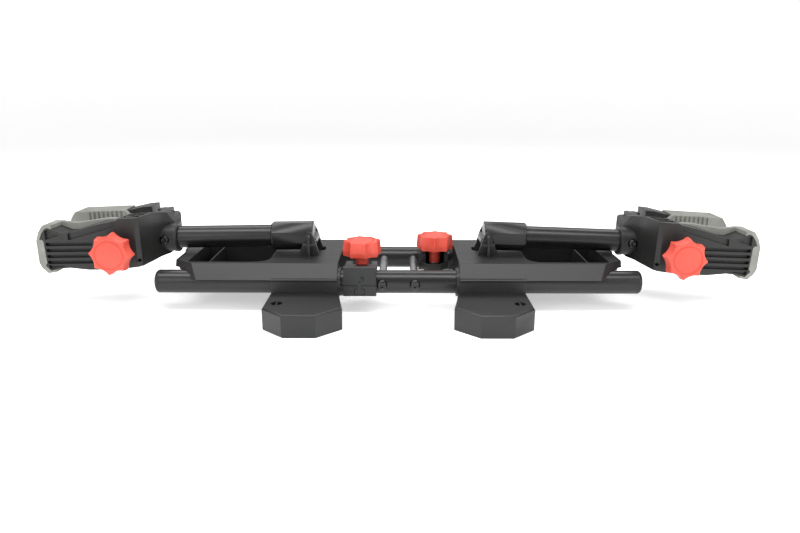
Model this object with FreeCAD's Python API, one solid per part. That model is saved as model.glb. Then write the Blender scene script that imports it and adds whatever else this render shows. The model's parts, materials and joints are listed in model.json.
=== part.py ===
"""Folded carrier head of a two-tube bike rack: a ladder frame of two cross tubes, two sliding
moulded bases on octagonal feet, and two fold-down arms that end in frame-clamping jaws.

Millimetres. +X to the right, +Y to the back, +Z up. The origin is on the ground, under the middle
of the frame. One side is modelled to the right of the centre and mirrored for the left.
"""

import FreeCAD, Part
import math
import os

V = FreeCAD.Vector

# ---------------------------------------------------------------- driving dimensions
GAP = 0.3                 # clearance between parts that slide or turn past each other

TUBE_R = 15.0             # cross tubes and arm tubes are all 30 mm tube
TUBE_WALL = 2.0
TUBE_Z = 38.5             # height of the cross tubes' axes
TUBE_Y = 65.0             # half of the spacing of the cross tubes
TUBE_HALF = 311.5         # half length over the end caps
CAP_RIM = 6.0
CAP_PLUG = 14.0

BOLT_R = 4.0              # all main screws are M8
BOLT_HEAD_R = 6.8
BOLT_HEAD_H = 4.4
NUT_FLAT = 6.5            # half the width across flats
NUT_H = 6.5
THREAD_PLAY = 0.05
CROSS_X = 21.0            # half of the spacing of the two cross bolts
SPACER_R = 5.5

PLATE_Z = TUBE_Z + 25.0   # top of the moulded base
LEDGE_Z = TUBE_Z + 7.0
RIM_Z = TUBE_Z + 17.0
BASE_IN = 78.0            # distances along X from the centre
BASE_OUT = 290.0
BASE_SHOULDER = 265.0
BLOCK_OUT = 162.0
PLATE_HALF = 69.0         # half width of the base at the top
LEDGE_HALF = 85.0         # and at the ledge
BLOCK_HALF = 84.0
PROW_HALF = 50.0
BLOCK_DEPTH = 20.0        # how far the saddles reach below the tube axes
WALL = 3.5
TUB_IN = 168.0
TUB_OUT = 272.0
TUB_HALF = 61.0
TUB_CORNER = 20.0

PIVOT_U = 119.0           # arm pivot, from the centre and above the tube axes
PIVOT_Z = TUBE_Z + 41.0
AXIS_OVER_PIVOT = 6.0     # the arm's axis runs above its pivot
EAR_IN = 20.3
EAR_PLATE = 5.0
EAR_OUT = 35.0
SLEEVE_HALF = 18.25       # half across the flats of the octagonal sleeve
SLEEVE_LENGTH = 53.0
SLEEVE_BACK = 4.0
DROOP = {"left": 0.95, "right": 2.0}

COLLAR_IN = 179.5         # distances along the arm from its pivot
ARM_TUBE_END = 204.0
COLLAR_R = 19.0
COLLAR_SCREW_S = 195.0
JAW_FRONT = 70.0
JAW_FACE = 68.0           # the jaw plate sits back from the throat block
JAW_INNER = 38.0
PAD_T = 8.0
REAR_INNER = 33.0
REAR_OUTER = 68.0
HUMP_TOP = 40.0           # top of the jaw's root, above the arm's axis
GROOVE_R = 2.2
PIN_S = 208.0
PIN_Y = 45.0
BOLT_S = 236.0
JAW_BOLT_END = 62.0

KNOB_R = 26.3
JAW_KNOB_R = 27.5
LOCK_HEAD = 21.0
JAW_HEAD = 18.0
STEM_R = 8.2
LOCK_U = {"left": 48.5, "right": 51.0}
LOCK_V = 31.0             # lock knob axis, from its tube towards the middle
LOCK_HEAD_Z = {"left": 27.5, "right": 20.0}
LOCK_STEM = 18.0
JAW_STEM = 13.0
STUD_GRIP = 9.0           # how far a stud reaches into its knob's head
CLAMP_IN = 28.6
CLAMP_OUT = 70.0
CLAMP_HALF = 19.0
DIMPLE_R = 12.2           # a shallow round dent in the clamp's front plate

FOOT_TOP = 28.0
FOOT_IN = 67.0
FOOT_OUT = 163.0
FOOT_REACH = 170.0
FOOT_TAIL_Y = 46.0        # the foot's tail runs under the saddle block to here
FOOT_SCREW_U = (95.0, 145.0)
FOOT_SCREW_Y = 54.0
FOOT_SCREW_R = 2.5
SCREW_SEAT_Z = 15.0

os.makedirs("parts", exist_ok=True)


# ---------------------------------------------------------------- helpers
def box(x0, x1, y0, y1, z0, z1):
    return Part.makeBox(x1 - x0, y1 - y0, z1 - z0, V(x0, y0, z0))


def rod(axis, centre, radius, low, high):
    """A cylinder along one axis; centre gives the other two coordinates in x, y, z order."""
    a, b = centre
    start = {"x": V(low, a, b), "y": V(a, low, b), "z": V(a, b, low)}[axis]
    along = {"x": V(1, 0, 0), "y": V(0, 1, 0), "z": V(0, 0, 1)}[axis]
    return Part.makeCylinder(radius, high - low, start, along)


def ring(axis, centre, outer, inner, low, high):
    return rod(axis, centre, outer, low, high).cut(rod(axis, centre, inner, low - 1, high + 1))


def prism(axis, points, low, high):
    """A polygon in the two other axes, in x, y, z order, extruded along one axis."""
    place = {"x": lambda p: V(low, p[0], p[1]),
             "y": lambda p: V(p[0], low, p[1]),
             "z": lambda p: V(p[0], p[1], low)}[axis]
    along = {"x": V(1, 0, 0), "y": V(0, 1, 0), "z": V(0, 0, 1)}[axis]
    wire = Part.makePolygon([place(p) for p in points + points[:1]])
    return Part.Face(wire).extrude(along * (high - low))


def slot(axis, start, end, radius, low, high):
    """A straight slot with round ends between two centres, along one axis."""
    dx, dy = end[0] - start[0], end[1] - start[1]
    length = math.hypot(dx, dy)
    nx, ny = -dy / length * radius, dx / length * radius
    middle = [(start[0] + nx, start[1] + ny), (end[0] + nx, end[1] + ny),
              (end[0] - nx, end[1] - ny), (start[0] - nx, start[1] - ny)]
    body = prism(axis, middle, low, high)
    return fuse(body, rod(axis, start, radius, low, high), rod(axis, end, radius, low, high))


def hexagon(axis, centre, half_flat, low, high):
    """A hexagonal prism with two flats square to the first of its two coordinates."""
    corner = half_flat / math.cos(math.pi / 6)
    angles = [math.pi / 6 + math.pi / 3 * k for k in range(6)]
    points = [(centre[0] + corner * math.cos(a), centre[1] + corner * math.sin(a)) for a in angles]
    return prism(axis, points, low, high)


def fuse(first, *others):
    return first.multiFuse(list(others)).removeSplitter()


def cut(shape, *tools):
    for tool in tools:
        shape = shape.cut(tool)
    return shape.removeSplitter()


def lofted(sections):
    """A ruled solid through polygons that have the same number of corners."""
    wires = [Part.makePolygon(points + points[:1]) for points in sections]
    return Part.makeLoft(wires, True, True)


def socket_screw(head_r, head_h, shank_r, length, socket=2.5):
    """A button-head socket screw along +Y, with its head's face towards -Y and its seat at 0."""
    dome = Part.makeCone(head_r, head_r * 0.62, head_h, V(0, 0, 0), V(0, -1, 0))
    hole = hexagon("y", (0, 0), socket, -head_h - 1, -head_h * 0.35)
    return fuse(dome.cut(hole), rod("y", (0, 0), shank_r, 0, length))


def moved(shape, x, y, z):
    shape = shape.copy()
    shape.translate(V(x, y, z))
    return shape


def turned(shape, axis, degrees, about=V(0, 0, 0)):
    shape = shape.copy()
    shape.rotate(about, axis, degrees)
    return shape


def save(name, shape):
    shape.exportStep(f"parts/{name}.step")


def save_side(side, name, shape):
    """Save a part of one side; the left is the mirror image of the right."""
    if side == "left":
        shape = shape.mirror(V(0, 0, 0), V(1, 0, 0))
    save(f"{side}_{name}", shape)


# ---------------------------------------------------------------- ladder frame
def cross_tube(y):
    half = TUBE_HALF - CAP_RIM
    tube = ring("x", (y, TUBE_Z), TUBE_R, TUBE_R - TUBE_WALL, -half, half)
    holes = [rod("y", (x, TUBE_Z), BOLT_R + 0.2, y - 20, y + 20) for x in (-CROSS_X, CROSS_X)]
    return cut(tube, *holes)


def end_cap(y, end):
    """A plastic plug with a domed rim; end is -1 or 1."""
    inner = TUBE_HALF - CAP_RIM
    rim = rod("x", (y, TUBE_Z), TUBE_R, inner, TUBE_HALF)
    rim = rim.makeFillet(4.0, [e for e in rim.Edges if e.CenterOfMass.x > TUBE_HALF - 0.1])
    plug = ring("x", (y, TUBE_Z), TUBE_R - TUBE_WALL - 0.05, 10.5, inner - CAP_PLUG, inner)
    cap = fuse(rim, plug)
    return cap if end > 0 else cap.mirror(V(0, 0, 0), V(1, 0, 0))


def spacer(x):
    """A tube between the cross tubes, its ends shaped to seat on them."""
    reach = TUBE_Y - TUBE_R + 2.0
    body = ring("y", (x, TUBE_Z), SPACER_R, BOLT_R + 0.3, -reach, reach)
    tubes = [rod("x", (y, TUBE_Z), TUBE_R, x - 20, x + 20) for y in (-TUBE_Y, TUBE_Y)]
    return cut(body, *tubes)


def cross_bolt(x):
    seat = TUBE_Y + TUBE_R
    screw = socket_screw(BOLT_HEAD_R, BOLT_HEAD_H, BOLT_R, 2 * seat + NUT_H + 1.5)
    return moved(screw, x, -seat, TUBE_Z)


def cross_nut(x):
    seat = TUBE_Y + TUBE_R
    nut = hexagon("y", (x, TUBE_Z), NUT_FLAT, seat, seat + NUT_H)
    return nut.cut(rod("y", (x, TUBE_Z), BOLT_R + THREAD_PLAY, seat - 1, seat + NUT_H + 1))


def frame():
    save("front_tube", cross_tube(-TUBE_Y))
    save("rear_tube", cross_tube(TUBE_Y))
    caps = [end_cap(y, end) for y in (-TUBE_Y, TUBE_Y) for end in (-1, 1)]
    save("tube_caps", Part.makeCompound(caps))
    for name, make in (("cross_spacers", spacer), ("cross_bolts", cross_bolt), ("cross_nuts", cross_nut)):
        save(name, Part.makeCompound([make(x) for x in (-CROSS_X, CROSS_X)]))


# ---------------------------------------------------------------- moulded base
def base_outline(z, end):
    """The base's plan at height z. The walls lean out on the way down; end is the prow's X."""
    fall = (PLATE_Z - z) / (PLATE_Z - LEDGE_Z)
    half = PLATE_HALF + (LEDGE_HALF - PLATE_HALF) * fall
    shoulder = BASE_SHOULDER - 9.0 * fall
    slope = (PLATE_HALF - PROW_HALF) / (BASE_OUT - BASE_SHOULDER)
    prow = half - (end - shoulder) * slope
    return [V(BASE_IN, -half, z), V(shoulder, -half, z), V(end, -prow, z),
            V(end, prow, z), V(shoulder, half, z), V(BASE_IN, half, z)]


def saddle_block():
    """The inner block that wraps both tubes, open from below between them."""
    low = TUBE_Z - BLOCK_DEPTH
    inner = TUBE_Y - TUBE_R - 4.0
    outline = [(-BLOCK_HALF, low), (-inner, low), (-inner, PLATE_Z - 4), (inner, PLATE_Z - 4),
               (inner, low), (BLOCK_HALF, low), (BLOCK_HALF, LEDGE_Z + 2), (60, PLATE_Z - 1),
               (-60, PLATE_Z - 1), (-BLOCK_HALF, LEDGE_Z + 2)]
    return prism("x", outline, BASE_IN, BLOCK_OUT)


def tub_void():
    """The open hollow between the block and the prow, stepped over the tubes."""
    shelf = TUBE_Z + TUBE_R + 4.5
    upper = box(TUB_IN, TUB_OUT, -TUB_HALF, TUB_HALF, shelf, PLATE_Z + 1)
    upper = upper.makeFillet(TUB_CORNER, [e for e in upper.Edges
                                          if e.Length < 12 and e.CenterOfMass.x < TUB_IN + 1])
    deep_half = TUBE_Y - TUBE_R - 4.0
    deep = box(TUB_IN, TUB_OUT, -deep_half, deep_half, TUBE_Z - 8, shelf + 1)
    rib = box(249.2, 250.8, -TUB_HALF - 1, TUB_HALF + 1, TUBE_Z - 9, PLATE_Z - 6)
    return cut(fuse(upper, deep), rib)


def ear(sign):
    """One hinge ear with a centre rib and a cross rib; sign is -1 in front, 1 behind."""
    top = TUBE_Z + 57.0
    plate_outline = [(105.5, PLATE_Z - 2), (113.5, top - 7), (116.5, top - 1.5), (119, top),
                     (121.5, top - 1.5), (125, top - 7), (134, PLATE_Z - 2)]
    inner, outer = sorted((sign * EAR_IN, sign * (EAR_IN + EAR_PLATE)))
    plate = prism("y", plate_outline, inner, outer)
    foot, tip = sign * EAR_OUT, sign * (EAR_IN + 1)
    rib = prism("x", [(tip, PLATE_Z - 2), (foot, PLATE_Z - 2), (foot, PLATE_Z + 12),
                      (sign * (EAR_OUT - 4), top - 6), (tip, top - 2)], PIVOT_U - 1.5, PIVOT_U + 1.5)
    reach = sorted((tip, sign * (EAR_OUT - 2)))
    cross = box(PIVOT_U - 7.5, PIVOT_U + 8.5, reach[0], reach[1], PIVOT_Z - 2, PIVOT_Z + 1)
    boss = rod("y", (PIVOT_U, PIVOT_Z), 6.0, *sorted((tip, sign * (EAR_IN + EAR_PLATE + 1))))
    return fuse(plate, rib, cross, boss)


def pivot_holes():
    """A blind threaded hole in the front ear, a through hole and head seat in the rear one."""
    ear_face = EAR_IN + EAR_PLATE
    shank = rod("y", (PIVOT_U, PIVOT_Z), BOLT_R + THREAD_PLAY, 0.7 - ear_face, EAR_OUT + 5)
    seat = rod("y", (PIVOT_U, PIVOT_Z), BOLT_HEAD_R + 0.6, ear_face, EAR_OUT + 5)
    return shank, seat


def ledge_groove():
    """The shadow line between the base's wall and the saddle block under it."""
    return box(BASE_IN - 1, BLOCK_OUT + 1, -BLOCK_HALF - 2, -BLOCK_HALF + 1.5, LEDGE_Z - 2.4, LEDGE_Z - 0.8)


def base():
    upper = lofted([base_outline(RIM_Z, BASE_OUT), base_outline(PLATE_Z, BASE_OUT)])
    lower = lofted([base_outline(LEDGE_Z, 276.0), base_outline(RIM_Z, 284.0)])
    pan_half = TUBE_Y - TUBE_R - 0.6
    pan = box(BLOCK_OUT - 1, TUB_OUT + WALL, -pan_half, pan_half, TUBE_Z - 11, LEDGE_Z + 1)
    under_plate = box(BASE_IN - 1, TUB_IN - WALL, -46, 46, LEDGE_Z - 1, PLATE_Z - 4)
    shape = cut(fuse(upper, lower), under_plate)
    shape = fuse(shape, saddle_block(), pan)
    collars = [rod("x", (y, TUBE_Z), 18.5, BASE_IN - 4, BASE_IN + 1) for y in (-TUBE_Y, TUBE_Y)]
    shape = fuse(shape, *collars)
    shape = cut(shape, tub_void())
    bores = [rod("x", (y, TUBE_Z), TUBE_R + GAP, BASE_IN - 6, BASE_OUT + 5) for y in (-TUBE_Y, TUBE_Y)]
    core_hole = slot("z", (107.3, 8.0), (107.3, 19.0), 6.2, PLATE_Z - 8, PLATE_Z + 1)
    shape = cut(shape, core_hole, *bores)
    shape = fuse(shape, ear(-1), ear(1))
    front_cuts = foot_screw_holes() + [ledge_groove()]
    rear_cuts = [tool.mirror(V(0, 0, 0), V(0, 1, 0)) for tool in front_cuts]
    return cut(shape, *pivot_holes(), *front_cuts, *rear_cuts)


# ---------------------------------------------------------------- feet
def foot_outline(inset):
    """Plan of the pod in front of the block: a half octagon, inset all round its outside."""
    i = inset
    diagonal = i * math.tan(math.pi / 8)
    return [(FOOT_IN + 9 + i, -BLOCK_HALF - GAP), (FOOT_IN + i, -141 - diagonal + i),
            (96 + diagonal, -FOOT_REACH + i), (136 - diagonal, -FOOT_REACH + i),
            (FOOT_OUT - i, -143 - diagonal + i), (FOOT_OUT - i, -BLOCK_HALF - GAP)]


def foot():
    """Front foot: a hollow pod with crossed ribs inside and a tail under the saddle block."""
    bevel = 1.6
    plan = foot_outline(0.0)
    pod = prism("z", plan, 0, FOOT_TOP - bevel)
    top = lofted([[V(x, y, FOOT_TOP - bevel) for x, y in plan],
                  [V(x, y, FOOT_TOP) for x, y in foot_outline(bevel)]])
    tail = box(BASE_IN, BLOCK_OUT, -BLOCK_HALF - 2, -FOOT_TAIL_Y, 0, TUBE_Z - BLOCK_DEPTH)
    hollow = prism("z", foot_outline(WALL), -1, FOOT_TOP - WALL)
    ribs = fuse(box(113.5, 116.5, -168, -80, 0, FOOT_TOP - 1), box(70, 162, -122, -119, 0, FOOT_TOP - 1))
    tail_hollow = box(BASE_IN + WALL, BLOCK_OUT - WALL, -BLOCK_HALF + WALL, -FOOT_TAIL_Y - WALL,
                      -1, SCREW_SEAT_Z)
    hole = rod("z", (148, -125), 7.0, FOOT_TOP - 8, FOOT_TOP + 1)
    web = box(147.0, 149.0, -135, -115, FOOT_TOP - 9, FOOT_TOP + 2)
    pod = cut(fuse(pod, top), hollow.cut(ribs), hole.cut(web))
    return cut(fuse(pod, tail), tail_hollow, *foot_screw_holes())


def foot_screws():
    """Two screws up through each foot's tail into the block above it."""
    screw = turned(socket_screw(4.4, 3.0, FOOT_SCREW_R, 9.5, 1.5), V(1, 0, 0), 90)
    return [moved(screw, u, -FOOT_SCREW_Y, SCREW_SEAT_Z) for u in FOOT_SCREW_U]


def foot_screw_holes():
    return [rod("z", (u, -FOOT_SCREW_Y), FOOT_SCREW_R, 5, SCREW_SEAT_Z + 10) for u in FOOT_SCREW_U]


# ---------------------------------------------------------------- tube clamp and its knob
# Built about the tube axis at the origin: +Y points to the middle of the frame.
def clamp_tab(play):
    """The T-shaped tab of the upper half, or with some play the notch that takes it."""
    neck = box(46.5 - play, 52.5 + play, -CLAMP_HALF - play, -15.8 + play, -5 - play, 1)
    head = box(43.5 - play, 55.5 + play, -CLAMP_HALF - play, -15.8 + play, -12 - play, -5 + play)
    return fuse(neck, head)


def clamp_lower():
    low = -0.7
    shell = rod("x", (0, 0), CLAMP_HALF, CLAMP_IN, CLAMP_OUT)
    cheek = box(CLAMP_IN, CLAMP_OUT, -CLAMP_HALF, 0, -14, low)
    tongue = box(36, 63, 10, 47, -13, -5)
    shape = fuse(shell, cheek).cut(box(0, 100, -30, 30, low, 30))
    shape = fuse(shape, tongue)
    bore = rod("x", (0, 0), TUBE_R + GAP, CLAMP_IN - 1, BASE_IN)
    return cut(shape, bore, clamp_tab(0.5))


def clamp_upper():
    outline = [(-CLAMP_HALF, 0), (-CLAMP_HALF, 23.5), (-18, 24.5), (-16.3, 24.5), (-15.6, 18.5), (17, 18.5),
               (22, 16), (44, 16), (44, -4), (CLAMP_HALF + 0.6, -4), (CLAMP_HALF + 0.6, 0), (12, 0)]
    shape = prism("x", outline, CLAMP_IN, CLAMP_OUT)
    shape = shape.cut(Part.makeSphere(DIMPLE_R, V(48.5, 1.2 - CLAMP_HALF - DIMPLE_R, 7.6)))
    apron = [(CLAMP_IN + 1, 43), (CLAMP_IN + 1, 44), (40.5, 62.5), (58.5, 62.5),
             (CLAMP_OUT - 1, 46), (CLAMP_OUT - 1, 43)]
    inside = [(CLAMP_IN + 3.5, 42), (CLAMP_IN + 3.5, 43.5), (41.8, 60.0), (57.2, 60.0),
              (CLAMP_OUT - 3.5, 45.2), (CLAMP_OUT - 3.5, 42)]
    rim = cut(prism("z", apron, -4, 5), prism("z", inside, -1, 6))
    shape = fuse(shape, rim, clamp_tab(0.0))
    bore = rod("x", (0, 0), TUBE_R + GAP, CLAMP_IN - 1, CLAMP_OUT + 1)
    relief = box(CLAMP_IN - 1, CLAMP_OUT + 1, 0, TUBE_R + 1.4, -5, 7)
    return cut(shape, bore, relief)


def clamp_place(shape, side):
    """Set a clamp part on its tube: the left clamp in front, the right one behind, turned round."""
    if side == "left":
        return moved(shape, 0, -TUBE_Y, TUBE_Z)
    shape = turned(shape, V(0, 0, 1), 180, V((CLAMP_IN + CLAMP_OUT) / 2, 0, 0))
    return moved(shape, 0, TUBE_Y, TUBE_Z)


def star_knob(radius, head, stem):
    """An eight-lobed knob on a stem along +Z; the stem's end is at 0 and a blind bore takes a stud."""
    def star(z, scale):
        tips, edges = 8, []
        for k in range(tips):
            angles = [2 * math.pi * (k + part) / tips for part in (0, 0.5, 1)]
            radii = [radius * scale, radius * scale * 0.82, radius * scale]
            a, b, c = [V(r * math.cos(t), r * math.sin(t), z) for r, t in zip(radii, angles)]
            edges.append(Part.Arc(a, b, c).toShape())
        return Part.Wire(edges)
    sections = [star(stem, 1.0), star(stem + head * 0.35, 1.0), star(stem + head, 0.93)]
    lobes = Part.makeLoft(sections, True, True)
    under = Part.makeCone(STEM_R + 6, STEM_R, 3.0, V(0, 0, stem), V(0, 0, -1))
    face = stem + head
    recess = rod("z", (0, 0), radius * 0.66, face - 1.6, face + 1)
    disc = rod("z", (0, 0), radius * 0.56, face - 2, face - 0.5)
    knob = fuse(lobes, rod("z", (0, 0), STEM_R, 0, stem + 1), under)
    bore = rod("z", (0, 0), BOLT_R, -1, stem + STUD_GRIP)
    return cut(fuse(cut(knob, recess), disc), bore)


def lock_parts(side):
    """Knob, stud, washer and nut on the clamp's screw axis."""
    u, v = LOCK_U[side], (-TUBE_Y + LOCK_V if side == "left" else TUBE_Y - LOCK_V)
    head_z = TUBE_Z + LOCK_HEAD_Z[side]
    stem_z = head_z - LOCK_STEM
    save_side(side, "lock_knob", moved(star_knob(KNOB_R, LOCK_HEAD, LOCK_STEM), u, v, stem_z))
    save_side(side, "lock_stud", rod("z", (u, v), BOLT_R, TUBE_Z - 20, head_z + STUD_GRIP))
    save_side(side, "lock_washer", ring("z", (u, v), 9.5, BOLT_R + THREAD_PLAY, stem_z - 1.6, stem_z))
    nut = hexagon("z", (u, v), NUT_FLAT, TUBE_Z - 13, TUBE_Z - 13 + NUT_H)
    save_side(side, "lock_nut", nut.cut(rod("z", (u, v), BOLT_R + THREAD_PLAY, 0, 60)))


def clamp_halves(side):
    u, v = LOCK_U[side], (-TUBE_Y + LOCK_V if side == "left" else TUBE_Y - LOCK_V)
    pocket = hexagon("z", (u, v), NUT_FLAT + 0.05, TUBE_Z - 14, TUBE_Z - 13 + NUT_H)
    toward = 1 if side == "left" else -1
    neck = ring("x", (-toward * TUBE_Y, TUBE_Z), 18.5, TUBE_R + GAP, CLAMP_OUT - 0.5, BASE_IN - 4)
    neck = neck.cut(box(0, 100, -100, 100, TUBE_Z - 0.7, TUBE_Z + 30))
    lower = cut(fuse(clamp_place(clamp_lower(), side), neck), pocket, rod("z", (u, v), BOLT_R + 0.6, 0, 60))
    well = rod("z", (u, v), 12.5, TUBE_Z, TUBE_Z + 40)
    mouth = box(u - 12.5, u + 12.5, min(v, v + toward * 14), max(v, v + toward * 14), TUBE_Z, TUBE_Z + 40)
    stud_slot = slot("z", (u, v - 0.8), (u, v + 0.8), BOLT_R + 1.0, 0, 60)
    save_side(side, "clamp_lower", lower)
    save_side(side, "clamp_upper", cut(clamp_place(clamp_upper(), side), well, mouth, stud_slot))


# ---------------------------------------------------------------- arm
# Built along +X with the pivot at the origin; the arm's axis is AXIS_OVER_PIVOT above it.
def octagon(half):
    corner = half * math.tan(math.pi / 8)
    return [(-half, -corner), (-corner, -half), (corner, -half), (half, -corner),
            (half, corner), (corner, half), (-corner, half), (-half, corner)]


def arm_sleeve():
    section = [(y, z + AXIS_OVER_PIVOT) for y, z in octagon(SLEEVE_HALF)]
    shape = prism("x", section, -SLEEVE_BACK, SLEEVE_LENGTH)
    edges = [e for e in shape.Edges if e.CenterOfMass.x < -SLEEVE_BACK + 0.1]
    shape = shape.makeFillet(1.5, edges)
    eye = rod("y", (0, 0), 9.0, -SLEEVE_HALF, SLEEVE_HALF)
    shape = fuse(shape, eye)
    tube_hole = rod("x", (0, AXIS_OVER_PIVOT), TUBE_R, 12.0, SLEEVE_LENGTH + 1)
    return cut(shape, tube_hole, rod("y", (0, 0), 5.5, -30, 30))


def arm_tube():
    outer, inner = TUBE_R, TUBE_R - TUBE_WALL
    tube = ring("x", (0, AXIS_OVER_PIVOT), outer, inner, 12.0, ARM_TUBE_END)
    return cut(tube, rod("y", (COLLAR_SCREW_S, AXIS_OVER_PIVOT), 3.05, -20, 0))


def arm_rivets():
    """Two flush rivets under the sleeve hold the tube."""
    low = AXIS_OVER_PIVOT - SLEEVE_HALF
    shapes = [rod("z", (s, 0), 2.5, low, low + 6.5) for s in (24.0, 42.0)]
    return Part.makeCompound(shapes)


# ---------------------------------------------------------------- jaw
# Heights in the jaw are from the arm's axis.
def jaw_profile():
    """Side outline of a jaw arm from its root to the horned tip."""
    return [(226, -23), (262, -27), (278, -27), (302, -24), (316, -25), (327, -27.5), (333, -20.5),
            (330.5, -17.5), (331.5, 11), (333.5, 13.5), (336.5, 13), (333, 21), (328.5, 26.5), (325, 28),
            (315, 24), (306, 20.5), (296, 21), (267, 30), (239, 36), (226, 37)]


def lifted(points):
    return [(s, w + AXIS_OVER_PIVOT) for s, w in points]


def grooves(y0, y1):
    """Four round-ended channels on the outer face of a jaw arm."""
    return [slot("y", (272, w), (327.5, w), GROOVE_R, y0, y1) for w in
            [AXIS_OVER_PIVOT + 7 - 7.8 * k for k in range(4)]]


def throat_block():
    """The jaw's root: its side outline, cut to its plan."""
    side = lifted([(183, -14), (187, -17), (193, -21.5), (222, -24.5), (238, -26), (238, 36), (233, 39),
                   (200, HUMP_TOP), (193, 34), (188, 20), (183, 17)])
    plan = [(200, -19), (203, -38), (209, -66), (214, -JAW_FRONT), (238, -JAW_FRONT), (238, -JAW_INNER),
            (226, -30), (222, 2), (211, 12), (211, 34), (214, 57), (198, 58), (190, 46), (183, 19)]
    return prism("y", side, -80, 80).common(prism("z", plan, -40, 60))


def hump_slope():
    """What is taken off the root's top, so that it falls away behind the arm's axis."""
    top = AXIS_OVER_PIVOT + HUMP_TOP
    wedge = prism("x", [(-35, top), (10, top - 7), (80, top - 9), (80, top + 20), (-35, top + 20)], 150, 260)
    return [wedge, box(150, 203, 18, 80, top - 14, top + 20)]


def hump_pockets():
    """Triangular pockets in the top of the root, between straight and diagonal ribs."""
    pitch, rib, diagonal = 12.0, 1.6, 3.0
    low, high = AXIS_OVER_PIVOT + HUMP_TOP - 13, AXIS_OVER_PIVOT + HUMP_TOP + 5
    pockets = []
    for k in range(5):
        y0 = -62 + pitch * k
        y1 = y0 + pitch - rib
        near, far = 210.5 - 1.5 * k, 231 - 2.0 * k
        pockets.append(prism("z", [(near, y0), (far - diagonal, y0), (near, y1)], low, high))
        pockets.append(prism("z", [(far, y0), (far, y1), (near + diagonal, y1)], low, high))
    return pockets


def lug_flutes():
    """Upright flutes round the inner rear corner of the root."""
    path = [(184.5, 25), (186.2, 32), (188, 39), (190.5, 46), (194, 52), (198.5, 57.5)]
    return [rod("z", point, 1.6, AXIS_OVER_PIVOT - 30, AXIS_OVER_PIVOT + 50) for point in path]


def horn_facets():
    """Shallow recesses in the jaw plate: along its upper edge and on both horns of its tip."""
    outlines = [[(239, 29), (300, 12), (300, 22.5), (267, 31), (239, 40)],
                [(311, 18.5), (326, 26), (329, 24.5), (329, 13)],
                [(306, -22), (316, -22.8), (328, -25.5), (329, -20)]]
    return [prism("y", lifted(outline), -JAW_FACE - 1, -JAW_FACE + 3.5) for outline in outlines]


def jaw_body():
    collar = rod("x", (0, AXIS_OVER_PIVOT), COLLAR_R, COLLAR_IN, 214)
    flange = rod("x", (0, AXIS_OVER_PIVOT), COLLAR_R + 1.0, COLLAR_IN, COLLAR_IN + 5)
    flange = flange.makeChamfer(1.2, [e for e in flange.Edges if e.CenterOfMass.x < COLLAR_IN + 0.1])
    arm = prism("y", lifted(jaw_profile()), -JAW_FACE, -JAW_INNER)
    lugs = rod("z", (PIN_S, PIN_Y), 13.0, AXIS_OVER_PIVOT - 25, AXIS_OVER_PIVOT + 39)
    shape = fuse(throat_block(), collar, flange, arm, lugs)
    low, high = AXIS_OVER_PIVOT - 12, AXIS_OVER_PIVOT + 24
    knuckle_room = [rod("z", (PIN_S, PIN_Y), 12.3, low, high), box(PIN_S, 260, 20, 75, low, high)]
    bores = [rod("x", (0, AXIS_OVER_PIVOT), TUBE_R, COLLAR_IN - 1, ARM_TUBE_END),
             rod("y", (BOLT_S, AXIS_OVER_PIVOT), BOLT_R + 0.4, -90, 20),
             rod("z", (PIN_S, PIN_Y), 3.0, AXIS_OVER_PIVOT - 23, AXIS_OVER_PIVOT + 60),
             rod("y", (COLLAR_SCREW_S, AXIS_OVER_PIVOT), 3.0, -30, 0)]
    dimple = rod("y", (212, AXIS_OVER_PIVOT - 15), 2.2, -80, -62)
    spot_face = rod("y", (COLLAR_SCREW_S, AXIS_OVER_PIVOT), 6.3, -45, -17.5)
    return cut(shape, *knuckle_room, *horn_facets(), *grooves(-JAW_FACE - 1, -JAW_FACE + 5),
               *hump_slope(), *hump_pockets(), *lug_flutes(), *bores, dimple, spot_face)


def tip_outline():
    """The rounded end of a rubber liner, from its lower corner to its upper one."""
    return [(331, -31), (338, -24), (341, -17), (341, 12), (337, 23), (331, 31.5)]


def rubber_nose(y0, y1):
    """The liner's end, which wraps the jaw's two horns and fills the gap between them."""
    block = prism("y", lifted([(320, -29.5), *tip_outline(), (320, 31.5)]), y0, y1)
    plate = prism("y", lifted(jaw_profile()), *((y0 - 1, -JAW_INNER) if y0 < 0 else (REAR_INNER, y1 + 1)))
    return block.cut(plate)


def fixed_pad():
    """Rubber liner on the front jaw's inner face, and the nose round its tip."""
    outline = lifted([(244, -27), (250, -30), (320, -29.5), *tip_outline(), (320, 31.5), (300, 29),
                      (262, 34), (248, 34), (244, 30)])
    inner = -JAW_INNER + PAD_T
    shape = prism("y", outline, -JAW_INNER, inner)
    nose = rubber_nose(-JAW_FACE, inner)
    channels = [box(277 + 6.2 * k, 279.6 + 6.2 * k, inner - 2, inner + 1, -40, 60) for k in range(7)]
    return cut(fuse(shape, nose), *channels)


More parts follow.
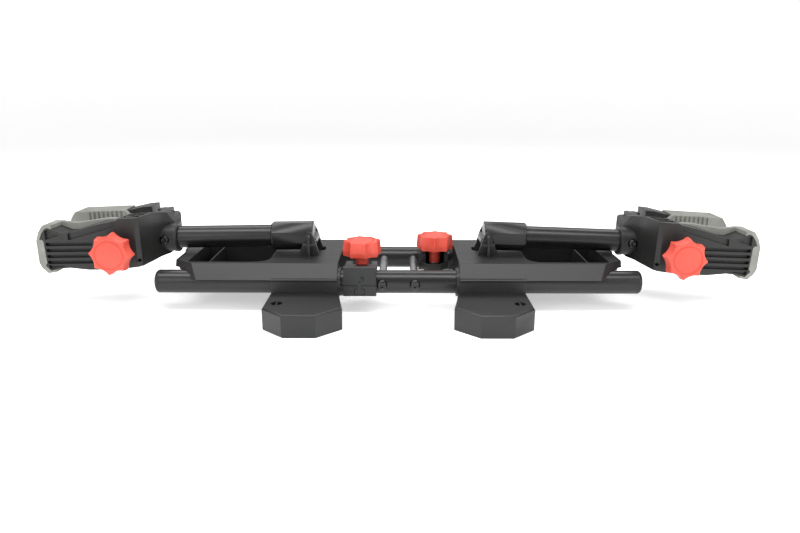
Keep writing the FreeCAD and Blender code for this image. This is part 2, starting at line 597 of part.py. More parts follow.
def moving_jaw():
    """The rear jaw arm, its knuckle, the barrel nut's seat and the widening slot for the bolt."""
    arm = prism("y", lifted(jaw_profile()), REAR_INNER, REAR_OUTER)
    low, high = AXIS_OVER_PIVOT - 11.5, AXIS_OVER_PIVOT + 23.5
    knuckle = rod("z", (PIN_S, PIN_Y), 11.0, low, high)
    web = box(PIN_S, 228, PIN_Y - 8.5, PIN_Y + 8.5, low, high)
    shape = fuse(arm, knuckle, web)
    seat = slot("z", (BOLT_S - 0.3, PIN_Y), (BOLT_S + 1.9, PIN_Y), 7.6, -40, AXIS_OVER_PIVOT + 14.6)
    bolt_room = [(BOLT_S - 5.5, 20), (BOLT_S + 14.0, 20), (BOLT_S + 6.0, PIN_Y), (BOLT_S + 6.0, 75),
                 (BOLT_S - 15.0, 75), (BOLT_S - 5.5, PIN_Y)]
    way = prism("z", bolt_room, AXIS_OVER_PIVOT - 5, AXIS_OVER_PIVOT + 5)
    pin_hole = rod("z", (PIN_S, PIN_Y), 3.06, -60, 60)
    return cut(shape, seat, way, pin_hole, *grooves(REAR_OUTER - 5, REAR_OUTER + 1))


def moving_pad():
    """Rubber liner on the rear jaw: upright grip channels inside, and a hood over its upper edge."""
    outline = lifted([(256, -27), (262, -30), (321, -29.5), (321, 31.5), (262, 33), (256, 28)])
    inner = REAR_INNER - PAD_T
    shape = prism("y", outline, inner, REAR_INNER)
    hood = prism("y", lifted([(262, 18), (321, 18), (321, 31.5), (262, 33)]), REAR_INNER - 2, REAR_OUTER)
    hood = hood.cut(prism("y", lifted(jaw_profile()), REAR_INNER, REAR_OUTER + 1))
    nose = rubber_nose(inner, REAR_OUTER)
    channels = [box(265 + 6.2 * k, 267.6 + 6.2 * k, inner - 1, inner + 2, -40, 60) for k in range(8)]
    return cut(fuse(shape, hood, nose), *channels)


def barrel_nut():
    body = rod("z", (BOLT_S, PIN_Y), 7.0, AXIS_OVER_PIVOT - 14, AXIS_OVER_PIVOT + 14)
    return cut(body, rod("y", (BOLT_S, AXIS_OVER_PIVOT), BOLT_R + THREAD_PLAY, 20, 70))


def jaw_parts():
    """Every jaw part by name, in the arm's frame."""
    knob = turned(star_knob(JAW_KNOB_R, JAW_HEAD, JAW_STEM), V(1, 0, 0), 90)
    seat = -JAW_FRONT - 2.0
    pin_low, pin_high = AXIS_OVER_PIVOT - 23, AXIS_OVER_PIVOT + 32.5
    return {
        "jaw_body": jaw_body(),
        "fixed_pad": fixed_pad(),
        "moving_jaw": moving_jaw(),
        "moving_pad": moving_pad(),
        "jaw_pin": rod("z", (PIN_S, PIN_Y), 3.0, pin_low, pin_high),
        "jaw_knob": moved(knob, BOLT_S, seat, AXIS_OVER_PIVOT),
        "jaw_bolt": rod("y", (BOLT_S, AXIS_OVER_PIVOT), BOLT_R, seat - JAW_STEM - STUD_GRIP, JAW_BOLT_END),
        "jaw_washer": ring("y", (BOLT_S, AXIS_OVER_PIVOT), 8.5, BOLT_R + THREAD_PLAY, seat, seat + 1.8),
        "barrel_nut": barrel_nut(),
        "collar_screw": moved(socket_screw(6.0, 4.2, 3.0, 4.9, 2.2), COLLAR_SCREW_S, -17.5, AXIS_OVER_PIVOT),
    }


def arm_place(shape, side):
    """Tip an arm part down by the arm's droop and set it on the pivot."""
    return moved(turned(shape, V(0, 1, 0), DROOP[side]), PIVOT_U, 0, PIVOT_Z)


def one_side(side):
    save_side(side, "base", base())
    front = foot()
    save_side(side, "front_foot", front)
    save_side(side, "rear_foot", front.mirror(V(0, 0, 0), V(0, 1, 0)))
    screws = foot_screws()
    back = [s.mirror(V(0, 0, 0), V(0, 1, 0)) for s in screws]
    save_side(side, "foot_screws", Part.makeCompound(screws + back))
    clamp_halves(side)
    lock_parts(side)

    pivot_length = 2 * EAR_IN + EAR_PLATE + 3.7
    pivot = turned(socket_screw(BOLT_HEAD_R, BOLT_HEAD_H, BOLT_R, pivot_length), V(0, 0, 1), 180)
    save_side(side, "pivot_bolt", moved(pivot, PIVOT_U, EAR_IN + EAR_PLATE, PIVOT_Z))
    low, high = SLEEVE_HALF + 0.1, EAR_IN - 0.1
    washers = [ring("y", (0, 0), 8.0, BOLT_R + THREAD_PLAY, *span) for span in ((-high, -low), (low, high))]
    save_side(side, "pivot_washers", arm_place(Part.makeCompound(washers), side))
    bush = ring("y", (0, 0), 5.5, BOLT_R + THREAD_PLAY, -SLEEVE_HALF, SLEEVE_HALF)
    save_side(side, "pivot_bush", arm_place(bush, side))
    save_side(side, "arm_sleeve", arm_place(cut(arm_sleeve(), arm_rivets()), side))
    save_side(side, "arm_tube", arm_place(cut(arm_tube(), arm_rivets()), side))
    save_side(side, "arm_rivets", arm_place(arm_rivets(), side))
    for name, shape in jaw_parts().items():
        save_side(side, name, arm_place(shape, side))


frame()
for side_name in ("left", "right"):
    one_side(side_name)
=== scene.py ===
# %% [markdown]
# # A folded carrier head for a bike rack
#
# Two cross tubes make a ladder. On it slide two moulded bases with feet, each held by a tube clamp
# with a red knob. Each base carries an arm that folds down and ends in a jaw for a bicycle frame.
#
# The engineering model already fixes every size and every hinge. This lesson dresses it: moulded
# parts get soft edges, knobs and screws are modelled afresh, and each finish is mixed from shader
# nodes. We start by loading the model.

# %% Load the frame
import bmesh
import bpy
import json
import math
from mathutils import Matrix, Vector

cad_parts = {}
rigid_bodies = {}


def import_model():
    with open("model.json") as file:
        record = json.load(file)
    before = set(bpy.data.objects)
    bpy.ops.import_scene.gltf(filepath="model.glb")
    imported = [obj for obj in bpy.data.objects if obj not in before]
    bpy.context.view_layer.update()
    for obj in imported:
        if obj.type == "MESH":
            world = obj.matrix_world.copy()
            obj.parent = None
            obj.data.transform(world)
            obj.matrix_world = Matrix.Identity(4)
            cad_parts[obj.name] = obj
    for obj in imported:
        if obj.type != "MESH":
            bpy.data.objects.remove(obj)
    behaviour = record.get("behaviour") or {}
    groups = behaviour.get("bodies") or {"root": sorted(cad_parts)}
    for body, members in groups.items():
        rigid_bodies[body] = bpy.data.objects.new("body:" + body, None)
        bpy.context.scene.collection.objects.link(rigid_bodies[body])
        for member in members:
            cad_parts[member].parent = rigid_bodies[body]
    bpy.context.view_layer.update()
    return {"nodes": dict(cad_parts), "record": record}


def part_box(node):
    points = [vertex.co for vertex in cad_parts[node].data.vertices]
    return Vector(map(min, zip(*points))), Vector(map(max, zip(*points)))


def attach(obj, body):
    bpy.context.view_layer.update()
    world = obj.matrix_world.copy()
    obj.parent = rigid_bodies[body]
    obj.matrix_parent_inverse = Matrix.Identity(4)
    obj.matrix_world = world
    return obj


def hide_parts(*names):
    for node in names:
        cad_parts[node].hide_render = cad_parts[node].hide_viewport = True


for leftover in list(bpy.data.objects):
    bpy.data.objects.remove(leftover)

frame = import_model()
nodes = frame["nodes"]
record = frame["record"]
body_of_node = {n: b for b, members in record["behaviour"]["bodies"].items() for n in members}
slot_of_node = {part["node"]: part["material_slot"] for part in record["subparts"]}
MM = 0.001

# %% [markdown]
# ## A studio
#
# A product like this is shot on a white sweep, a floor that curves up into a wall, so no horizon
# shows. We could model a flat floor, but its edge would cut the view from low angles. A bowl made
# by spinning one profile round the vertical axis hides the edge from every side.

# %% Make the white bowl
BOWL_FLAT = 3.0
BOWL_CURVE = 1.2
CURVE_STEPS = 12
TURN_STEPS = 96


def studio_bowl():
    """A flat disc whose rim curves up into a wall, spun from one profile."""
    shape = bmesh.new()
    centre = shape.verts.new((0, 0, 0))
    rim = shape.verts.new((BOWL_FLAT, 0, 0))
    profile = [shape.edges.new((centre, rim))]
    last = rim
    for step in range(1, CURVE_STEPS + 1):
        turn = math.pi / 2 * step / CURVE_STEPS
        point = (BOWL_FLAT + BOWL_CURVE * math.sin(turn), 0, BOWL_CURVE * (1 - math.cos(turn)))
        new = shape.verts.new(point)
        profile.append(shape.edges.new((last, new)))
        last = new
    points = list({v for e in profile for v in e.verts})
    bmesh.ops.spin(shape, geom=points + profile, axis=(0, 0, 1), cent=(0, 0, 0), angle=math.tau,
                   steps=TURN_STEPS, use_merge=True)
    bmesh.ops.remove_doubles(shape, verts=shape.verts, dist=1e-5)
    bmesh.ops.recalc_face_normals(shape, faces=shape.faces)
    mesh = bpy.data.meshes.new("studio_bowl")
    shape.to_mesh(mesh)
    shape.free()
    mesh.shade_smooth()
    bowl = bpy.data.objects.new("studio_bowl", mesh)
    bpy.context.scene.collection.objects.link(bowl)
    return bowl


bowl = studio_bowl()
print("bowl with", len(bowl.data.polygons), "faces")

# %% [markdown]
# ## Camera and lights
#
# The camera stands a little under a metre in front of the head, slightly above it, and looks down
# by fifteen degrees through a moderately wide lens. Black plastic shows its shape only by what it
# reflects, so the lights are large soft panels. A long narrow one hangs overhead and a little in
# front: it draws the highlights along the tubes and on every softened edge. One behind lights the
# back, and one to each side in front lights the walls. The right one is smaller, so the light on
# that side is a little harder and the two halves don't look alike.

# %% Place the camera
CAMERA_PLACE = (0.0019, -0.9341, 0.2915)
CAMERA_DOWN = 15.0
CAMERA_ROLL = 0.15
LENS = 31.5

camera_data = bpy.data.cameras.new("camera")
camera_data.lens = LENS
camera_data.sensor_width = 36.0
camera = bpy.data.objects.new("camera", camera_data)
bpy.context.scene.collection.objects.link(camera)
tilt = Matrix.Rotation(math.radians(90 - CAMERA_DOWN), 4, "X")
roll = Matrix.Rotation(math.radians(CAMERA_ROLL), 4, "Z")
camera.matrix_world = Matrix.Translation(CAMERA_PLACE) @ tilt @ roll
bpy.context.scene.camera = camera
print("camera", [round(x, 3) for x in camera.location])

# %% Hang the soft lights


def softbox(name, place, target, size, watts):
    panel = bpy.data.lights.new(name, "AREA")
    panel.shape = "RECTANGLE"
    panel.size, panel.size_y = size
    panel.energy = watts
    lamp = bpy.data.objects.new(name, panel)
    bpy.context.scene.collection.objects.link(lamp)
    lamp.location = place
    aim = Vector(target) - Vector(place)
    lamp.rotation_euler = aim.to_track_quat("-Z", "Y").to_euler()
    return lamp


softbox("overhead", (-0.10, -0.50, 1.35), (0, -0.05, 0.05), (1.9, 0.40), 21)
softbox("behind", (0.0, 0.75, 1.3), (0, 0.05, 0.05), (2.0, 0.6), 16)
softbox("front_left", (-1.3, -1.5, 0.95), (-0.15, 0, 0.05), (1.3, 1.0), 14)
softbox("front_right", (1.5, -1.3, 0.8), (0.2, 0, 0.05), (0.9, 0.9), 15)

world = bpy.data.worlds.new("room")
world.use_nodes = True
room_light = world.node_tree.nodes["Background"]
room_light.inputs["Color"].default_value = (1.0, 1.0, 1.0, 1.0)
room_light.inputs["Strength"].default_value = 0.36
bpy.context.scene.world = world
bpy.context.scene.view_settings.view_transform = "Standard"
print("four panels and a room light of", room_light.inputs["Strength"].default_value)

# %% [markdown]
# ## A small language for finishes
#
# A shader is a graph, and graphs are tedious to wire by hand. Two small classes help. A Wire is
# one value travelling between nodes, and Python's own operators on it add Math nodes, so a
# finish can be written as an expression. A Finish owns one material and adds any other node by
# its type. Only the things that really vary over a surface are wired; whatever is the same
# everywhere is typed straight into the shader.

# %% Define Wire and Finish
MIX_FACTOR, MIX_A, MIX_B, MIX_RESULT = 0, 6, 7, 2      # a Mix node's sockets when it mixes colours


class Wire:
    def __init__(self, finish, socket):
        self.finish = finish
        self.socket = socket

    def maths(self, operation, *others, first=None):
        values = [self, *others] if first is None else [first, self]
        return self.finish.node("ShaderNodeMath", dict(enumerate(values)), operation=operation)

    def __add__(self, other):
        return self.maths("ADD", other)

    def __radd__(self, other):
        return self.maths("ADD", first=other)

    def __sub__(self, other):
        return self.maths("SUBTRACT", other)

    def __rsub__(self, other):
        return self.maths("SUBTRACT", first=other)

    def __mul__(self, other):
        return self.maths("MULTIPLY", other)

    def __rmul__(self, other):
        return self.maths("MULTIPLY", first=other)

    def step(self, low, high):
        """0 below low, 1 above high and a smooth rise between."""
        values = {"Value": self, "From Min": low, "From Max": high}
        return self.finish.node("ShaderNodeMapRange", values, interpolation_type="SMOOTHSTEP")


class Finish:
    def __init__(self, name, **constants):
        self.material = bpy.data.materials.new(name)
        self.material.use_nodes = True
        self.tree = self.material.node_tree
        self.tree.nodes.clear()
        output = self.tree.nodes.new("ShaderNodeOutputMaterial")
        self.shader = self.tree.nodes.new("ShaderNodeBsdfPrincipled")
        self.tree.links.new(self.shader.outputs[0], output.inputs["Surface"])
        for socket, value in constants.items():
            self.shader.inputs[socket.replace("_", " ")].default_value = value
        self.place = self.node("ShaderNodeTexCoord", out="Object")

    def node(self, kind, values=None, out=0, **settings):
        made = self.tree.nodes.new(kind)
        for key, value in settings.items():
            setattr(made, key, value)
        for key, value in (values or {}).items():
            if isinstance(value, Wire):
                self.tree.links.new(value.socket, made.inputs[key])
            else:
                made.inputs[key].default_value = value
        return Wire(self, made.outputs[out])

    def feed(self, socket, wire):
        self.tree.links.new(wire.socket, self.shader.inputs[socket])

    def noise(self, scale, detail=2.0, rough=0.5, stretch=(1, 1, 1)):
        place = self.place
        if stretch != (1, 1, 1):
            place = self.node("ShaderNodeMapping", {"Vector": place, "Scale": stretch})
        values = {"Vector": place, "Scale": scale, "Detail": detail, "Roughness": rough}
        return self.node("ShaderNodeTexNoise", values)

    def cells(self, scale):
        return self.node("ShaderNodeTexVoronoi", {"Vector": self.place, "Scale": scale})

    def blend(self, amount, dark, light):
        """A colour between two, by an amount from 0 to 1; each is a colour or a Wire."""
        values = {MIX_FACTOR: amount, MIX_A: paint(dark), MIX_B: paint(light)}
        return self.node("ShaderNodeMix", values, out=MIX_RESULT, data_type="RGBA")

    def relief(self, height, depth, strength=1.0):
        values = {"Height": height, "Distance": depth, "Strength": strength}
        self.feed("Normal", self.node("ShaderNodeBump", values))


def paint(colour):
    return colour if isinstance(colour, Wire) or len(colour) == 4 else (*colour, 1.0)


print("wires and finishes are ready")

# %% [markdown]
# ## The finishes
#
# The tubes are powder coated: the coat melts into a slightly wavy skin, called orange peel, with a
# soft satin shine. One noise gives the waves and a coarser one makes the shine uneven.

# %% Mix the powder coat


def powder_coat():
    finish = Finish("powder_coat", Specular_IOR_Level=0.40)
    peel = finish.noise(620, detail=1.5)
    bloom = finish.noise(38, detail=5, rough=0.6)
    rubs = finish.noise(120, detail=8, rough=0.8, stretch=(0.12, 1, 1)).step(0.63, 0.76)
    colour = finish.blend(bloom, (0.0045, 0.0045, 0.005), (0.0085, 0.0085, 0.009))
    finish.feed("Base Color", finish.blend(rubs * 0.4, colour, (0.035, 0.035, 0.035)))
    finish.feed("Roughness", bloom * 0.10 + 0.27 + rubs * 0.12)
    finish.relief(peel, 0.00005)
    return finish.material


TUBE_COAT = powder_coat()
print("mixed", TUBE_COAT.name)

# %% [markdown]
# The bases, feet, clamps and jaws are glass-filled nylon from a spark-eroded mould. Its surface is
# a fine even grain, about a third of a millimetre, over faint waves left by the flow and by
# shrinkage. Handling leaves pale rubs. One function makes every variant, because only the depth
# of black and the shine differ from part to part.

# %% Mix the moulded nylons


def moulded_nylon(name, dark, light, shine):
    finish = Finish(name, Specular_IOR_Level=0.38)
    grain = finish.noise(2900, detail=2, rough=0.6)
    sink = finish.noise(30, detail=2)
    flow = finish.noise(16, detail=5, rough=0.65, stretch=(0.5, 1, 1.4))
    rubs = finish.noise(85, detail=9, rough=0.82, stretch=(0.3, 1, 0.8)).step(0.62, 0.75)
    colour = finish.blend(flow.step(0.3, 0.7), dark, light)
    finish.feed("Base Color", finish.blend(rubs * 0.35, colour, (0.045, 0.044, 0.042)))
    finish.feed("Roughness", flow * 0.12 + grain * 0.10 + (shine - 0.08) + rubs * 0.08)
    finish.relief(grain * 0.10 + sink, 0.00035)
    return finish.material


BASE_NYLON = moulded_nylon("base_nylon", (0.0095, 0.0095, 0.010), (0.0145, 0.0145, 0.015), 0.40)
FOOT_NYLON = moulded_nylon("foot_nylon", (0.0115, 0.0118, 0.0125), (0.0165, 0.0168, 0.0175), 0.39)
CLAMP_NYLON = moulded_nylon("clamp_nylon", (0.009, 0.0095, 0.0095), (0.014, 0.0145, 0.0145), 0.37)
SLEEVE_NYLON = moulded_nylon("sleeve_nylon", (0.007, 0.007, 0.0075), (0.011, 0.011, 0.0115), 0.30)
JAW_NYLON = moulded_nylon("jaw_nylon", (0.010, 0.0097, 0.0094), (0.0155, 0.015, 0.0145), 0.42)
CAP_NYLON = moulded_nylon("cap_nylon", (0.006, 0.006, 0.0065), (0.010, 0.010, 0.0105), 0.38)
print("mixed six nylons")

# %% [markdown]
# The jaw liners are soft grey rubber. Rubber has hardly any shine, collects dust in patches and
# shows tiny pits. The pits are the small cells of a Voronoi pattern, kept only where they are
# deep, so that the skin stays mostly smooth.

# %% Mix the grey rubber


def grey_rubber():
    finish = Finish("grey_rubber")
    dust = finish.noise(26, detail=6, rough=0.62)
    pits = finish.cells(1500).step(0.05, 0.35)
    grain = finish.noise(1900, detail=2)
    stain = finish.noise(9, detail=3).step(0.35, 0.7)
    colour = finish.blend(dust.step(0.3, 0.7), (0.165, 0.165, 0.15), (0.245, 0.245, 0.226))
    finish.feed("Base Color", finish.blend(stain * 0.35, colour, (0.135, 0.132, 0.12)))
    finish.feed("Roughness", dust * 0.2 + 0.62)
    finish.relief(pits * 0.5 + grain * 0.5, 0.00012)
    return finish.material


PAD_RUBBER = grey_rubber()
print("mixed", PAD_RUBBER.name)

# %% [markdown]
# The knobs are coral red nylon, coloured right through. Under soft light it is satin with a faint
# clear skin on the crests, so a thin varying coat is added, and the red deepens a little where
# the melt met itself.

# %% Mix the coral plastic


def coral_plastic():
    finish = Finish("coral_plastic", Coat_Roughness=0.35)
    melt = finish.noise(34, detail=4, rough=0.6)
    grain = finish.noise(2400, detail=2)
    rubs = finish.noise(140, detail=8, rough=0.8).step(0.64, 0.74)
    colour = finish.blend(melt.step(0.25, 0.75), (0.55, 0.052, 0.030), (0.65, 0.070, 0.041))
    finish.feed("Base Color", finish.blend(rubs * 0.35, colour, (0.90, 0.22, 0.16)))
    finish.feed("Roughness", melt * 0.10 + grain * 0.08 + 0.36)
    finish.feed("Coat Weight", melt * 0.16 + 0.02)
    finish.relief(grain, 0.00004)
    return finish.material


KNOB_RED = coral_plastic()
print("mixed", KNOB_RED.name)

# %% [markdown]
# Screws are blackened steel: metallic, dark and quite shiny, worn brighter in spots. Washers, nuts,
# studs and the spacer tubes are zinc plated: pale grey with a cloudy, slightly crystalline shine.
# Metal has no diffuse colour of its own, so Metallic is 1 and the base colour tints reflections.

# %% Mix the metals


def metal(name, dark, light, rough_low, rough_high, cell_scale):
    finish = Finish(name, Metallic=1.0)
    cloud = finish.noise(110, detail=6, rough=0.65)
    crystals = finish.cells(cell_scale)
    turned = finish.noise(420, detail=3, stretch=(1, 0.06, 1))
    finish.feed("Base Color", finish.blend(cloud * 0.6 + crystals * 0.4, dark, light))
    finish.feed("Roughness", cloud * (rough_high - rough_low) + rough_low)
    finish.relief(turned, 0.00002)
    return finish.material


BLACK_STEEL = metal("black_steel", (0.018, 0.018, 0.020), (0.055, 0.055, 0.058), 0.10, 0.22, 900)
ZINC_STEEL = metal("zinc_steel", (0.27, 0.27, 0.28), (0.44, 0.44, 0.45), 0.28, 0.50, 700)
BEARING_STEEL = metal("bearing_steel", (0.46, 0.43, 0.37), (0.58, 0.55, 0.48), 0.22, 0.38, 1200)
FINISHES = {"tube": TUBE_COAT, "base": BASE_NYLON, "foot": FOOT_NYLON, "clamp": CLAMP_NYLON,
            "sleeve": SLEEVE_NYLON, "jaw": JAW_NYLON, "pad": PAD_RUBBER, "knob": KNOB_RED,
            "cap": CAP_NYLON, "screw": BLACK_STEEL, "steel": ZINC_STEEL, "bush": BEARING_STEEL}
print("finishes for", len(FINISHES), "slots")

# %% [markdown]
# The bowl gets a plain pale finish of its own, with only the faintest unevenness.

# %% Paint the bowl


def bowl_paint():
    finish = Finish("bowl_paint", Emission_Color=(1.0, 1.0, 1.0, 1.0), Emission_Strength=0.44)
    cloud = finish.noise(1.5, detail=2)
    finish.feed("Base Color", finish.blend(cloud, (0.86, 0.86, 0.86), (0.90, 0.90, 0.90)))
    finish.feed("Roughness", cloud * 0.05 + 0.85)
    return finish.material


bowl.data.materials.append(bowl_paint())
print("bowl painted")

# %% [markdown]
# ## Parts that keep their engineering shape
#
# Most parts already have the right shape, but a mould never makes a knife edge: every corner has a
# small radius, and that radius is what catches the light. The engineering mesh is loose
# triangles, so we work on a copy. We weld it, dissolve the lines across flat faces, and bevel the
# edges that are left and turn sharply. Weighted normals then keep the flats flat.
#
# Every piece we finish goes through one function that sets its material, ties it to its moving
# body and hides the engineering part it stands for.

# %% Define the dressing of a piece
WELD = 0.00002            # vertices nearer than this become one
LEVEL = 0.5               # degrees; faces that turn less than this are one flat face
CREASE = 33.0             # degrees; edges that turn further than this shade as corners
FLAT_WEIGHT = 80          # how much a large flat face outweighs the bevel beside it


def dress(piece, node, finish=None):
    slot = slot_of_node[node]
    piece.data.materials.clear()
    piece.data.materials.append(finish or FINISHES[slot])
    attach(piece, body_of_node[node])
    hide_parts(node)
    return piece


def piece_from(shape, name):
    """Turns a bmesh into a smooth-shaded object at the origin whose flats stay flat."""
    mesh = bpy.data.meshes.new(name)
    shape.to_mesh(mesh)
    shape.free()
    mesh.shade_smooth()
    mesh.set_sharp_from_angle(angle=math.radians(CREASE))
    piece = bpy.data.objects.new(name, mesh)
    bpy.context.scene.collection.objects.link(piece)
    weights = piece.modifiers.new("weighted_normals", "WEIGHTED_NORMAL")
    weights.weight = FLAT_WEIGHT
    weights.keep_sharp = True
    return piece


# %% [markdown]
# The bevel operator shrinks every bevel of a mesh when one edge has too little room, so a short
# step would cost all the long edges their radius. We therefore bevel in three passes. The first
# takes only the edges whose neighbours are all long enough, and the next two give the rest a finer
# break.

# %% Define the soft-edged copy
BEVEL_PASSES = ((1.0, None), (0.4, 2), (0.15, 2))      # share of the width, segments
ROOM_NEEDED = 2.05        # every neighbour is longer than this many bevel widths


def welded(node):
    shape = bmesh.new()
    shape.from_mesh(nodes[node].data)
    bmesh.ops.remove_doubles(shape, verts=shape.verts, dist=WELD)
    bmesh.ops.dissolve_degenerate(shape, dist=WELD, edges=shape.edges)
    bmesh.ops.dissolve_limit(shape, angle_limit=math.radians(LEVEL), verts=shape.verts, edges=shape.edges)
    return shape


def sharp_edges(shape):
    """Edges that would shade as corners, and those a degree short of it."""
    return [e for e in shape.edges if e.is_manifold and e.calc_face_angle(0) > math.radians(CREASE - 1)]


def round_off(shape, edges, width, segments):
    bmesh.ops.bevel(shape, geom=edges, offset=width, offset_type="OFFSET", segments=segments,
                    profile=0.5, affect="EDGES", clamp_overlap=True, material=-1, miter_outer="ARC")


def soften(shape, width, segments=2):
    """Full width where there is room; rims of small holes and short steps get a fine edge break."""
    def room(edge):
        return min(near.calc_length() for v in edge.verts for near in v.link_edges)
    sharp_count = len(sharp_edges(shape))
    for share, count in BEVEL_PASSES:
        roomy = [e for e in sharp_edges(shape) if room(e) > ROOM_NEEDED * width * share]
        if roomy:
            round_off(shape, roomy, width * share, count or segments)
    return sharp_count


def soft_copy(node, width, segments=2):
    """A copy of an engineering part with edges rounded to a width in millimetres."""
    shape = welded(node)
    softened = soften(shape, width * MM, segments)
    piece = piece_from(shape, node + "_moulded")
    dress(piece, node)
    print(piece.name, softened, "edges softened,", len(piece.data.polygons), "faces")
    return piece


# %% Soften the moulded parts
SIDES = ("left", "right")
for side in SIDES:
    soft_copy(f"{side}_base", 0.9, 3)
    soft_copy(f"{side}_front_foot", 1.9, 4)
    soft_copy(f"{side}_rear_foot", 1.9, 4)
    soft_copy(f"{side}_clamp_lower", 0.5)
    soft_copy(f"{side}_clamp_upper", 0.6)
    soft_copy(f"{side}_arm_sleeve", 2.6, 4)
    soft_copy(f"{side}_jaw_body", 0.6)
    soft_copy(f"{side}_moving_jaw", 0.6)
    soft_copy(f"{side}_fixed_pad", 0.7, 3)
    soft_copy(f"{side}_moving_pad", 0.7, 3)

# %% [markdown]
# Tubes, spacers, washers, nuts and pins are smooth round parts. Their copies need only a fine
# edge break, so the same function serves with a smaller width.

# %% Break the edges of tubes and metal parts
soft_copy("front_tube", 0.3)
soft_copy("rear_tube", 0.3)
soft_copy("tube_caps", 0.4)
soft_copy("cross_spacers", 0.2)
soft_copy("cross_nuts", 0.4)
for side in SIDES:
    soft_copy(f"{side}_arm_tube", 0.3)
    for part in ("lock_stud", "lock_washer", "lock_nut", "pivot_washers", "pivot_bush", "arm_rivets",
                 "jaw_pin", "jaw_bolt", "jaw_washer", "barrel_nut", "foot_screws"):
        soft_copy(f"{side}_{part}", 0.25)

# %% [markdown]
# ## Round parts with a shaped rim
#
# Knobs and screws are round, but not all the way: the knob's rim has eight lobes and the screw's
# socket is a hexagon. A plain lathe can't turn those. Instead we start from one circle and
# extrude its edge ring after ring. Each ring is given a height, a radius and an outline, which
# says how far out each direction goes. Where the outline changes from one ring to the next,
# the wall between them blends by itself.

# %% Define outlines and the ring stack
LOBES = 8
HOLLOW = 0.82             # radius at the middle of a knob's flank, as a share of its tips'
TIP_BLUNT = 0.975         # where the points are cut off, as a share of their full reach


def round_outline(angle):
    return 1.0


def star_outline(angle):
    """Flanks are arcs that bow inwards between blunt tips."""
    half = math.pi / LOBES
    off_middle = (angle % (2 * half)) - half
    drop = math.cos(half) - HOLLOW
    arc = (math.sin(half) ** 2 + drop ** 2) / (2 * drop)
    centre = HOLLOW + arc
    reach = centre * math.cos(off_middle) - math.sqrt(arc ** 2 - (centre * math.sin(off_middle)) ** 2)
    return min(reach, TIP_BLUNT)


def hexagon_outline(angle):
    return 1.0 / math.cos((angle % (math.pi / 3)) - math.pi / 6)


def ring_stack(rings, segments):
    """A closed body along +Z of (height, radius, outline) rings, capped at both ends."""
    shape = bmesh.new()
    bmesh.ops.create_circle(shape, segments=segments, radius=1.0, cap_ends=False)
    ring, edges = list(shape.verts), list(shape.edges)
    angle_of = {v: math.atan2(v.co.y, v.co.x) for v in ring}
    first_edges = edges
    for index, (height, radius, outline) in enumerate(rings):
        if index:
            grown = bmesh.ops.extrude_edge_only(shape, edges=edges)["geom"]
            ring = [g for g in grown if isinstance(g, bmesh.types.BMVert)]
            edges = [g for g in grown if isinstance(g, bmesh.types.BMEdge)]
            angle_of = {v: math.atan2(v.co.y, v.co.x) for v in ring}
        for v in ring:
            reach = radius * outline(angle_of[v])
            v.co = (reach * math.cos(angle_of[v]), reach * math.sin(angle_of[v]), height)
    bmesh.ops.holes_fill(shape, edges=first_edges, sides=0)
    bmesh.ops.holes_fill(shape, edges=edges, sides=0)
    bmesh.ops.recalc_face_normals(shape, faces=shape.faces)
    return shape


print("tips at 1, flanks at", round(star_outline(math.pi / LOBES), 3))

# %% [markdown]
# ## The red knobs
#
# Four knobs, two sizes of the same design: a plain stem that flares into a head with eight
# pointed lobes. The head tapers a little towards its face, and its face is dished with a raised disc
# in the middle. The engineering node gives each knob's place, its length and its radius, so one
# function makes all four.

# %% Model a star knob
STEM_R = 8.2 * MM
DISH = 0.68               # radius of the dished face, as a share of the knob's
DISC = 0.60               # radius of the raised disc in it
LOBE_STEPS = 24           # points round one lobe


def knob_rings(radius, length, head):
    """The stem in metres; the wall and face in millimetres of height and shares of the radius."""
    neck = length - head
    tall = head / MM
    round_rings = [(0, STEM_R - 0.5 * MM), (0.5 * MM, STEM_R), (neck - 3.2 * MM, STEM_R),
                   (neck - 2.6 * MM, STEM_R + 0.3 * MM), (neck - 0.8 * MM, STEM_R + 2.2 * MM),
                   (neck - 0.1 * MM, STEM_R + 4.6 * MM)]
    wall = [(0.0, 0.90), (0.15, 0.945), (0.9, 0.972), (0.30 * tall, 1.0), (0.36 * tall, 1.002),
            (tall - 2.0, 0.955), (tall - 1.3, 0.945), (tall - 0.5, 0.925),
            (tall - 0.08, 0.893), (tall, 0.875)]
    face = [(0.0, 0.705), (-0.05, DISH + 0.012), (-0.35, DISH - 0.008), (-1.15, DISH - 0.02),
            (-1.35, DISH - 0.035), (-1.35, DISC + 0.012), (-1.2, DISC - 0.002), (-0.65, DISC - 0.012),
            (-0.45, DISC - 0.03), (-0.42, DISC - 0.08), (-0.35, 0.30), (-0.3, 0.02)]
    rings = [(h, r, round_outline) for h, r in round_rings]
    rings += [(neck + h * MM, r * radius, star_outline) for h, r in wall]
    rings += [(length + h * MM, r * radius, round_outline) for h, r in face]
    return rings


def star_knob(node, head, axis, turn):
    """A knob in the node's box, along its axis, turned by some degrees as the photograph shows it."""
    low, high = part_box(node)
    along = "xyz".index(axis)
    radius = (high.x - low.x) / 2
    shape = ring_stack(knob_rings(radius, high[along] - low[along], head), LOBES * LOBE_STEPS)
    middle = (low + high) / 2
    if axis == "z":
        place = Matrix.Translation((middle.x, middle.y, low.z))
    else:
        place = Matrix.Translation((middle.x, high.y, middle.z)) @ Matrix.Rotation(math.pi / 2, 4, "X")
    bmesh.ops.transform(shape, matrix=place @ Matrix.Rotation(math.radians(turn), 4, "Z"), verts=shape.verts)
    piece = dress(piece_from(shape, node + "_star"), node)
    print(piece.name, "radius", round(radius / MM, 1), "mm,", len(piece.data.polygons), "faces")
    return piece


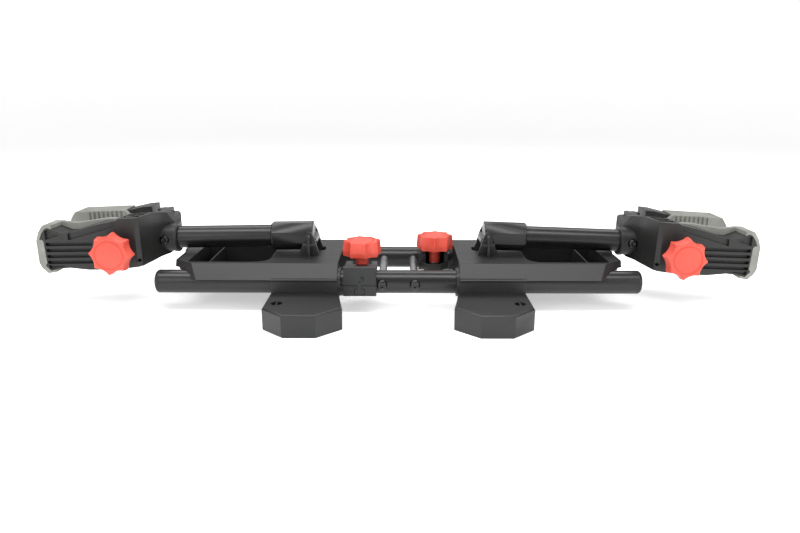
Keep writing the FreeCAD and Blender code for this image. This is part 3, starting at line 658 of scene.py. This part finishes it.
LOCK_HEAD = 21 * MM
JAW_HEAD = 18 * MM
star_knob("left_lock_knob", LOCK_HEAD, "z", 12)
star_knob("right_lock_knob", LOCK_HEAD, "z", -4)
star_knob("left_jaw_knob", JAW_HEAD, "y", -5)
star_knob("right_jaw_knob", JAW_HEAD, "y", -5)

# %% [markdown]
# ## Socket screws
#
# The visible screws are button heads: a low dome with a flat top and a hexagon socket that a key
# fits. The same ring stack makes them, because only the outline changes, from a circle outside to
# a hexagon inside.

# %% Model the button-head screws
DOME_TURNS = (0, 18, 36, 54, 72, 90)
SCREW_STEPS = 72
TO_FRONT, TO_BACK = -1, 1
M8_BUTTON = {"head_r": 6.8 * MM, "head_h": 4.4 * MM, "shank_r": 4.0 * MM, "key": 2.5 * MM}
M6_BUTTON = {"head_r": 6.0 * MM, "head_h": 4.2 * MM, "shank_r": 3.0 * MM, "key": 2.2 * MM}


def button_rings(head_r, head_h, shank_r, length, key):
    """From the shank's end up to the dome, then over it and down into the socket."""
    dome = [(head_h * math.sin(a), head_r * (0.62 + 0.38 * math.cos(a)))
            for a in [math.radians(turn) for turn in DOME_TURNS]]
    rings = [(-length, shank_r * 0.85, round_outline), (-length + 0.6 * MM, shank_r, round_outline),
             (-0.3 * MM, shank_r, round_outline), (0, shank_r + 0.2 * MM, round_outline),
             (0, head_r * 0.97, round_outline), (0.15 * MM, head_r, round_outline)]
    rings += [(0.3 * MM + h * 0.93, r, round_outline) for h, r in dome]
    top = 0.3 * MM + head_h * 0.93
    rings += [(top, key * 1.32, round_outline), (top - 0.05 * MM, key * 1.12, hexagon_outline),
              (top - 0.25 * MM, key, hexagon_outline), (top - head_h * 0.62, key * 0.99, hexagon_outline),
              (top - head_h * 0.70, key * 0.5, round_outline)]
    return rings


def button_screw(centre, seat, facing, sizes):
    """Centre is the axis in x and z, seat the Y under the head, facing the way the head looks."""
    shape = ring_stack(button_rings(*sizes), SCREW_STEPS)
    lie_down = Matrix.Rotation(-facing * math.pi / 2, 4, "X")
    place = Matrix.Translation((centre[0], seat, centre[1]))
    bmesh.ops.transform(shape, matrix=place @ lie_down, verts=shape.verts)
    return shape


def joined(shapes):
    """One bmesh from several."""
    whole, *others = shapes
    for other in others:
        spare = bpy.data.meshes.new("spare")
        other.to_mesh(spare)
        other.free()
        whole.from_mesh(spare)
        bpy.data.meshes.remove(spare)
    return whole


def screw_piece(node, facing, head_r, head_h, shank_r, key):
    """One screw at each end of the node's box, or a single one when the box is as wide as its head."""
    low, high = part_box(node)
    seat = high.y - head_h if facing == TO_BACK else low.y + head_h
    length = high.y - low.y - head_h
    middle_z = (low.z + high.z) / 2
    ends = sorted({round(low.x + head_r, 6), round(high.x - head_r, 6)})
    places = ends if ends[-1] - ends[0] > head_r else [sum(ends) / len(ends)]
    sizes = (head_r, head_h, shank_r, length, key)
    shapes = [button_screw((x, middle_z), seat, facing, sizes) for x in places]
    piece = dress(piece_from(joined(shapes), node + "_turned"), node)
    print(piece.name, len(places), "screws,", round(length / MM, 1), "mm long")


screw_piece("cross_bolts", TO_FRONT, **M8_BUTTON)
for side in SIDES:
    screw_piece(f"{side}_collar_screw", TO_FRONT, **M6_BUTTON)
    screw_piece(f"{side}_pivot_bolt", TO_BACK, **M8_BUTTON)
